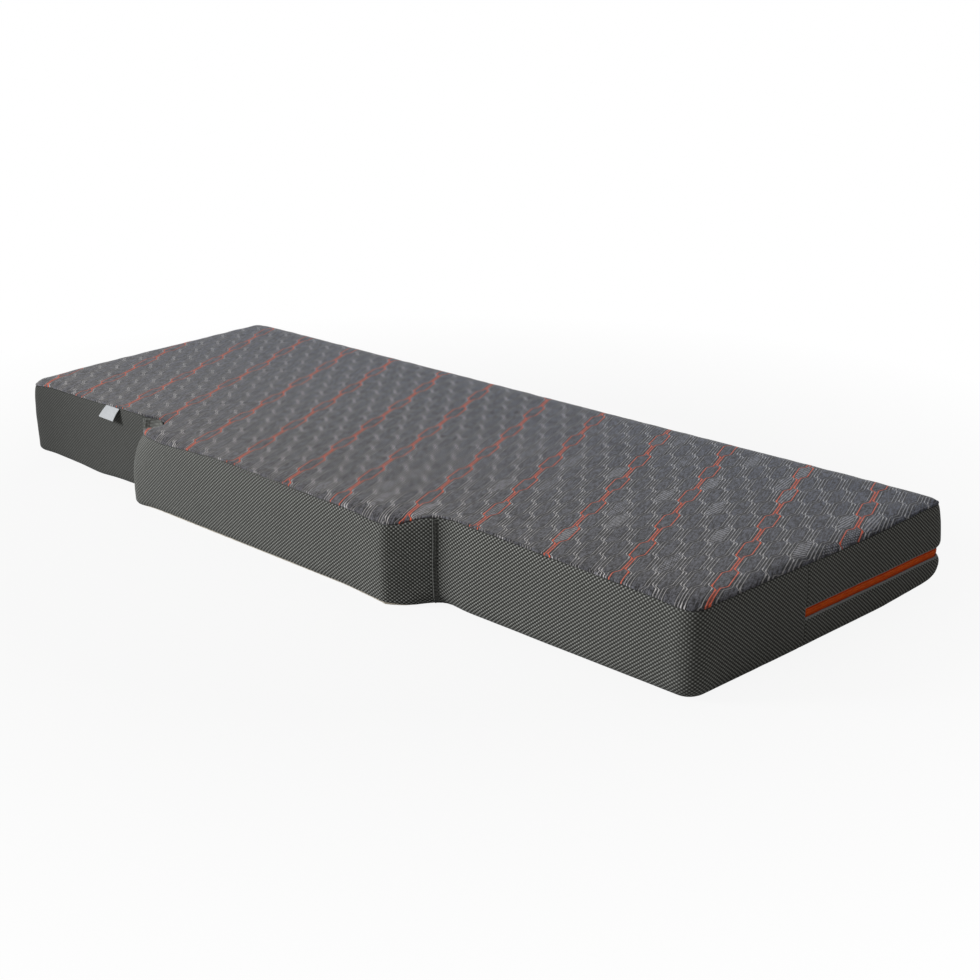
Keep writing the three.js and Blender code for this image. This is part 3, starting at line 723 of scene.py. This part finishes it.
def ribbon(name, start, run, inset, height, thickness, material, edge=None, **options):
    """A closed strip from rows of insets and heights along the outline, as thick as said."""
    across, up = np.gradient(inset, axis=0), np.gradient(height, axis=0)
    size = np.hypot(across, up)
    sections_inset = np.concatenate([inset, (inset + thickness * up / size)[::-1]])
    sections_height = np.concatenate([height, (height - thickness * across / size)[::-1]])
    run = start + run
    plan, out = along(BASE, run), along(OUTWARD, run)
    out /= np.linalg.norm(out, axis=1)[:, None]
    width, count = len(sections_inset), len(run)
    points = np.zeros((count, width, 3))
    points[..., :2] = plan[:, None] - out[:, None] * sections_inset.T[..., None]
    points[..., 2] = sections_height.T
    lean = along(LEAN, run)
    cloth = np.stack(np.broadcast_arrays(run[:, None], points[..., 2], lean[:, None]), -1)
    rim = np.exp(-((points[..., 2] - edge) / RIM) ** 4) if edge else points[..., 2] * 0
    # level carries the painted light and shade of the border's brightness profile
    level, contrast = along(PAINTED_LIGHT, run)[:, None], along(CONTRAST, run)[:, None]
    tone = np.stack(np.broadcast_arrays(level, contrast, rim), -1)
    faces = loop_faces(count, width) + cap(width, 0, width // 2) + cap(width, (count - 1) * width, width // 2)
    return make(name, points.reshape(-1, 3), faces, material,
                cloth=cloth.reshape(-1, 3), tone=tone.reshape(-1, 3), **options)


def border(name, start, end, low, high, shares, node, lips=(0, 0)):
    """A strip of the border; a lip is an edge that rolls in beside the zip."""
    run, length = run_steps(start, end)
    bottom = along(FOOT, start + run) if low is None else np.full(len(run), low)
    top = along(SEAM, start + run) - UNDER_SEAM if high is None else np.full(len(run), high)
    height = bottom + (top - bottom) * np.array(shares)[:, None]
    inset = wall(start + run, height)
    for lip, edge in zip(lips, (bottom, top)):
        inset = inset + lip * LIP_DEEP * np.exp(-((np.abs(height - edge) / LIP_HIGH) ** 1.5))
    near = np.minimum(run, length - run)
    inset = inset + END_DEEP * np.exp(-((near / END_REACH) ** 2))
    piece = ribbon(name, start, run, inset, height, BORDER, SPACER, low or high,
                   node=node, slot="spacer_mesh")


def side_run(side, before_end):
    """Length along the outline at a distance before the round that ends a side."""
    first = sum(ARC_STEPS[k] + SIDE_STEPS[k] for k in range(side)) + ARC_STEPS[side]
    last = (first + SIDE_STEPS[side]) % len(BASE)
    end = RUN[last] if last else LENGTH
    return end - before_end


LEFT_SEAM = RUN[ARC_STEPS[0] + SIDE_STEPS[0] + ARC_STEPS[1] + SIDE_STEPS[1]]
RIGHT_SEAM = RUN[sum(ARC_STEPS[k] + SIDE_STEPS[k] for k in range(5))]
ZIP_SEAM = side_run(6, 0.402)
ZIP_END = side_run(7, 0.032)
# Rows of points up each strip, as shares of its height
WHOLE = [0, 0.006, 0.014, 0.024, 0.036, 0.05, 0.068, 0.09, 0.115, 0.145, 0.18, 0.23, 0.3, 0.38, 0.46, 0.54,
         0.62, 0.69, 0.75, 0.80, 0.85, 0.89, 0.925, 0.955, 0.98, 1.0]
LOWER = [0, 0.017, 0.04, 0.07, 0.105, 0.15, 0.2, 0.27, 0.36, 0.47, 0.58, 0.68, 0.77, 0.84, 0.89, 0.93,
         0.965, 1.0]
UPPER = [0, 0.02, 0.045, 0.08, 0.12, 0.18, 0.27, 0.37, 0.48, 0.58, 0.67, 0.75, 0.82, 0.88, 0.93, 0.97, 1.0]
border("border_left_mesh", ZIP_END, LEFT_SEAM, None, None, WHOLE, "border_left")
border("border_bulge_mesh", LEFT_SEAM, RIGHT_SEAM, None, None, WHOLE, "border_bulge")
border("border_right_mesh", RIGHT_SEAM, ZIP_SEAM, None, None, WHOLE, "border_right")
border("border_zip_lower_mesh", ZIP_SEAM, ZIP_END, None, ZIP_LOW, LOWER, "border_zip_lower", (0, 1))
border("border_zip_upper_mesh", ZIP_SEAM, ZIP_END, ZIP_HIGH, None, UPPER, "border_zip_upper", (1, 0))

# ---- Underside: lies flat, and at the bulge it comes up round the lower edge to meet the border
UNDER = 0.0034  # thickness
RIM_ROWS, RIM_CURVE, UNDER_FOOT, RIM_LEAST = 9, 1.6, 0.0009, 0.00002
rim_shares = (np.linspace(0, 1, RIM_ROWS) ** RIM_CURVE)[:, None]
rim_z = np.maximum((FOOT - UNDER_FOOT) * rim_shares, RIM_LEAST)
rim_round = FOOT_ROUND - rim_z
rim_inset = FOOT_ROUND - np.sqrt(FOOT_ROUND ** 2 - rim_round ** 2)
share_in, share_up = (FOOT_ROUND - rim_inset) / FOOT_ROUND, rim_round / FOOT_ROUND
ragged = 0.0003 * waves(RUN, RUN * 0, seed=8, scale=0.012)
outer = [(0.045, 0.0, 0), (0.039, 0.0, 0)]
outer += [(0.0, z, inset + ragged) for inset, z in zip(rim_inset, rim_z)]
inner = [(0.0, z + UNDER * up, inset + ragged + UNDER * away)
         for inset, z, away, up in zip(rim_inset, rim_z, share_in, share_up)][::-1]
inner += [(0.041, 0.0037, 0), (0.047, 0.0038, 0)]
underside = filled("underside_panel", outer + inner,
                   material=UNDERSIDE, node="bottom_panel", slot="underside")

# ---- Foams and wadding
CORE = 0.0102  # inset of the layers' sides from the border's face
LAYER_INSET, LAYER_TOP_INSET = 0.015, 0.016
LAYER_EDGE = (  # (share of the height, draw-in) up a layer's side
    (0, 0.0030), (0.05, 0.0012), (0.12, 0.0003), (0.3, 0), (0.5, -0.0004), (0.7, 0), (0.88, 0.0003),
    (0.95, 0.0012), (1, 0.0030),
)


def layer(name, low, high, material, node, edge_low=None):
    """A layer inside the cover; a level below zero is a depth under the top's face."""
    bottom = top_height(LAYER_TOP_INSET) + (edge_low or low) if low < 0 else low
    top = top_height(LAYER_TOP_INSET) + high if high < 0 else high
    rings = crown_rings(CROWN_INSETS[::-1], -low) if low < 0 else []
    for share, draw in LAYER_EDGE:
        height = bottom + (top - bottom) * share + RUN * 0
        drawn = np.minimum(wall(RUN, height) + CORE - LAYER_INSET, LAYER_ROOM) + draw
        rings.append((LAYER_INSET, height, drawn))
    rings += crown_rings(CROWN_INSETS, -high) if high < 0 else []
    piece = filled(name, rings, -low if low < 0 else None, -high if high < 0 else None,
                   material=material, node=node, slot=node if node != "top_wadding" else "wadding")


layer("top_wadding_pad", -0.0160, -0.0042, WADDING, "top_wadding", -0.0105)
layer("comfort_foam_block", 0.1128, -0.0168, COMFORT, "comfort_foam")
layer("support_foam_block", 0.0348, 0.1120, SUPPORT, "support_foam")
layer("base_foam_block", 0.0046, 0.0341, BASE_FOAM, "base_foam")

# ---- Zip: two tapes with a coil each
TAPE_INSET, TAPE_THICK = 0.0085, 0.0008
tape_run, tape_length = run_steps(ZIP_SEAM, ZIP_END)
for side, low, high in (("lower", 0.0545, 0.0692), ("upper", 0.0708, 0.0855)):
    height = np.linspace(low, high, 5)[:, None] + tape_run * 0
    inset = wall(ZIP_SEAM + tape_run, ZIP_MIDDLE + tape_run * 0) + TAPE_INSET + height * 0
    tape = ribbon(f"zip_tape_{side}_cloth", ZIP_SEAM, tape_run, inset, height, TAPE_THICK, TAPE,
                  node=f"zip_tape_{side}", slot="zip_tape")

TOOTH_PITCH, FIRST_TOOTH = 0.0026, 0.002
TOOTH = (  # (rise, half width, share of the depth) along a tooth
    (0.0, 0.00045, 0.6), (0.0006, 0.00060, 1.0), (0.0030, 0.00058, 1.0), (0.0039, 0.00078, 1.0),
    (0.0046, 0.00050, 0.55),
)
TOOTH_SECTION = np.array([(-1, 0.1), (-0.8, 0.8), (0, 1), (0.8, 0.8), (1, 0.1), (0, 0)])
TOOTH_DEEP = 0.0021
CORD_SECTION = [  # (rise, depth) round the cord that the teeth are sewn over
    (0.0004, 0.0007), (0.0003, 0.0016), (0.0012, 0.0018), (0.0020, 0.0016), (0.0019, 0.0007),
]
for side, root, up, shift in (("lower", 0.0661, 1, 0), ("upper", 0.0739, -1, 0.5)):
    teeth = np.arange(int((tape_length - 2 * FIRST_TOOTH) / TOOTH_PITCH))
    places = ZIP_SEAM + FIRST_TOOTH + TOOTH_PITCH * (teeth + shift)
    plan, out = along(BASE, places), along(OUTWARD, places)
    out /= np.linalg.norm(out, axis=1)[:, None]
    way = np.column_stack([-out[:, 1], out[:, 0]])
    seat = wall(places, ZIP_MIDDLE + places * 0) + TAPE_INSET - 0.0001
    points, faces = [], []
    size = len(TOOTH_SECTION)
    for centre, outward, onward, inset in zip(plan, out, way, seat):
        first = len(points)
        for rise, half, depth in TOOTH:
            for u, v in TOOTH_SECTION:
                spot = centre - outward * (inset - v * TOOTH_DEEP * depth) + onward * u * half
                points.append((*spot, root + up * rise))
        last = first + len(TOOTH) * size - 1
        faces += [tuple(first + k for k in range(size)), tuple(last - k for k in range(size))]
        faces += [tuple(first + k for k in face) for face in loop_faces(len(TOOTH), size)]
    first, size = len(points), len(CORD_SECTION)
    for centre, outward, inset in zip(plan, out, seat):
        points += [(*(centre - outward * (inset - deep)), root + up * rise) for rise, deep in CORD_SECTION]
    last = len(points) - 1
    faces += [tuple(first + k for k in face) for face in loop_faces(len(places), size)]
    faces += [tuple(first + k for k in range(size)), tuple(last - k for k in range(size))]
    make(f"zip_coil_{side}_teeth", points, faces, NYLON, node=f"zip_coil_{side}", slot="zip_coil")

for name in ("zip_slider", "zip_pull"):
    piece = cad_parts[name]
    for place in piece.material_slots:
        place.material = METAL

# ---- Folded seams in the notches
WELT_FROM, WELT_TO, WELT_COLUMNS, WELT_ROWS = -0.0042, 0.0056, 15, 40
FIRST_RIDGE, FIRST_WIDTH, SECOND_RIDGE, SECOND_WIDTH = 0.0019, 0.0012, 0.0014, 0.0011
WELT_FLAT, WELT_SWAY, WELT_SINK, WELT_LEAN = 0.00035, 0.0005, 0.0003, 0.3


def welt(name, seam, node, first_at, level, contrast):
    """A folded seam: a ridge, and beside it a second that fades out downwards."""
    foot, top = along(FOOT, seam), along(SEAM, seam)
    heights = foot + 0.002 + (top - foot - 0.005) * np.linspace(0, 1, WELT_ROWS)
    across = np.linspace(WELT_FROM, WELT_TO, WELT_COLUMNS)
    points = []
    for z in heights:
        second = np.interp(z, [0.05, 0.10], [0.1, 1])
        sway = WELT_SWAY * math.sin(z * 60)
        lift = FIRST_RIDGE * np.exp(-(((across - first_at) / FIRST_WIDTH) ** 2))
        lift += SECOND_RIDGE * second * np.exp(-(((across + first_at) / SECOND_WIDTH) ** 2)) + WELT_FLAT
        lift *= np.interp(np.abs(across - across.mean()), [0.0042, 0.0049], [1, 0.15])
        run = seam + across + sway
        plan, out = along(BASE, run), along(OUTWARD, run)
        seat = wall(run, run * 0 + z) - WELT_SINK
        face = np.column_stack([plan - out * (seat - lift)[:, None], run * 0 + z])
        back = np.column_stack([plan - out * seat[:, None], run * 0 + z])
        points.append(np.concatenate([face, back[::-1]]))
    width = len(points[0])
    faces = loop_faces(len(points), width) + cap(width, 0, width // 2)
    faces += cap(width, (len(points) - 1) * width, width // 2)
    points = np.concatenate(points)
    cloth = np.column_stack([points[:, 0] * 1.4 - points[:, 1], points[:, 2],
                             points[:, 2] * 0 + WELT_LEAN])
    # level is painted light and shade on the welt
    tone = np.tile([level, contrast, 0.0], (len(points), 1))
    make(name, points, faces, SPACER, node=node, slot="spacer_mesh", cloth=cloth, tone=tone)


# Painted light and shade in level: the right welt darkened for the shade in its notch, the left one at full
# brightness
welt("seam_welt_right_fold", RIGHT_SEAM, "seam_welt_right", first_at=-0.0018, level=0.55, contrast=0.35)
welt("seam_welt_left_fold", LEFT_SEAM, "seam_welt_left", first_at=0.0018, level=1.0, contrast=0.25)

# ---- Label: hangs from the seam, a little curled
LABEL_LEFT, LABEL_WIDTH, LABEL_LONG, LABEL_THICK = -0.630, 0.048, 0.031, 0.0005
SEWN_Y, SEWN_Z = -0.3276, 0.1722
TILT, TILT_CHANGE = 47, 9  # degrees out from hanging straight down, and how much less at the right
CURL, RIPPLE = -0.0012, 0.0005
across, down = np.linspace(0, 1, 25), np.linspace(0, 1, 17)
rows = []
for share in down:
    curl = CURL * math.sin(math.pi * share) + RIPPLE * share * np.sin(across * 5.0 + 0.6)
    away = LABEL_LONG * share
    tilt = np.radians(TILT - TILT_CHANGE * across)
    y = SEWN_Y - away * np.sin(tilt) + curl * np.cos(tilt)
    z = SEWN_Z - away * np.cos(tilt) - curl * np.sin(tilt)
    rows.append(np.column_stack([LABEL_LEFT + LABEL_WIDTH * across, y, z]))
front = np.array(rows)
LABEL_INWARD = np.array([0, 0.73, -0.68])
back = front + LABEL_INWARD * LABEL_THICK
long, wide = len(down), len(across)
sections = np.concatenate([front, back[:, ::-1]], 1)
faces = loop_faces(long, 2 * wide) + cap(2 * wide, 0, wide) + cap(2 * wide, (long - 1) * 2 * wide, wide)
label = make("care_label_ribbon", sections.reshape(-1, 3), faces, LABEL,
             body="label", node="care_label", slot="label")

# ---- Floor, light and backdrop
SKY_COLOUR, SKY_STRENGTH, FLOOR_GREY = (1.0, 0.97, 0.92, 1), 0.23, 0.55
FADE_FROM, FADE_TO, FADE_LEAST = 0.9, 1.8, 0.90
FLOOR_REACH, FLOOR_Z = 30, -0.0005
world = bpy.data.worlds.new("studio")
bpy.context.scene.world = world
world.use_nodes = True
nodes, links = world.node_tree.nodes, world.node_tree.links
background = nodes["Background"]
background.inputs["Color"].default_value = SKY_COLOUR
background.inputs["Strength"].default_value = SKY_STRENGTH
white = nodes.new("ShaderNodeBackground")
white.inputs["Color"].default_value = (1, 1, 1, 1)
white.inputs["Strength"].default_value = 1.0
path = nodes.new("ShaderNodeLightPath")
seen = nodes.new("ShaderNodeMath")
seen.operation, seen.use_clamp = "ADD", True
links.new(path.outputs["Is Camera Ray"], seen.inputs[0])
links.new(path.outputs["Is Glossy Ray"], seen.inputs[1])
both = nodes.new("ShaderNodeMixShader")
links.new(seen.outputs[0], both.inputs[0])
links.new(background.outputs[0], both.inputs[1])
links.new(white.outputs[0], both.inputs[2])
links.new(both.outputs[0], nodes["World Output"].inputs["Surface"])

floor_paint = bpy.data.materials.new("floor_white")
floor_paint.use_nodes = True
nodes, links = floor_paint.node_tree.nodes, floor_paint.node_tree.links
matt = nodes["Principled BSDF"]
matt.inputs["Base Color"].default_value = (FLOOR_GREY, FLOOR_GREY, FLOOR_GREY, 1)
matt.inputs["Roughness"].default_value = 1.0
matt.inputs["Specular IOR Level"].default_value = 0.0
glow = nodes.new("ShaderNodeEmission")
path = nodes.new("ShaderNodeLightPath")
where = nodes.new("ShaderNodeTexCoord")
far = nodes.new("ShaderNodeVectorMath")
far.operation = "LENGTH"
links.new(where.outputs["Object"], far.inputs[0])
fade = nodes.new("ShaderNodeMapRange")
fade.inputs["From Min"].default_value, fade.inputs["From Max"].default_value = FADE_FROM, FADE_TO
fade.inputs["To Min"].default_value, fade.inputs["To Max"].default_value = FADE_LEAST, 1.0
links.new(far.outputs["Value"], fade.inputs["Value"])
times = nodes.new("ShaderNodeMath")
times.operation = "MULTIPLY"
links.new(fade.outputs[0], times.inputs[0])
links.new(path.outputs["Is Camera Ray"], times.inputs[1])
both = nodes.new("ShaderNodeMixShader")
links.new(times.outputs[0], both.inputs[0])
links.new(matt.outputs[0], both.inputs[1])
links.new(glow.outputs[0], both.inputs[2])
links.new(both.outputs[0], nodes["Material Output"].inputs["Surface"])
floor_data = bpy.data.meshes.new("floor")
floor_corners = [(-1, -1), (1, -1), (1, 1), (-1, 1)]
floor_data.from_pydata([(x * FLOOR_REACH, y * FLOOR_REACH, FLOOR_Z) for x, y in floor_corners], [],
                       [(0, 1, 2, 3)])
floor_data.materials.append(floor_paint)
floor = bpy.data.objects.new("floor", floor_data)
bpy.context.scene.collection.objects.link(floor)


def lamp(name, place, target, size, power):
    data = bpy.data.lights.new(name, "AREA")
    data.shape, data.size, data.energy = "DISK", size, power
    light = bpy.data.objects.new(name, data)
    light.location = place
    light.rotation_mode = "QUATERNION"
    light.rotation_quaternion = (Vector(target) - Vector(place)).to_track_quat("-Z", "Y")
    light.visible_camera = False
    bpy.context.scene.collection.objects.link(light)


lamp("key", (-4.5, -5.6, 3.2), (0, -0.1, 0.1), size=2.6, power=570)
lamp("top", (-0.3, 0.6, 4.2), (0, 0, 0.1), size=3.0, power=12)
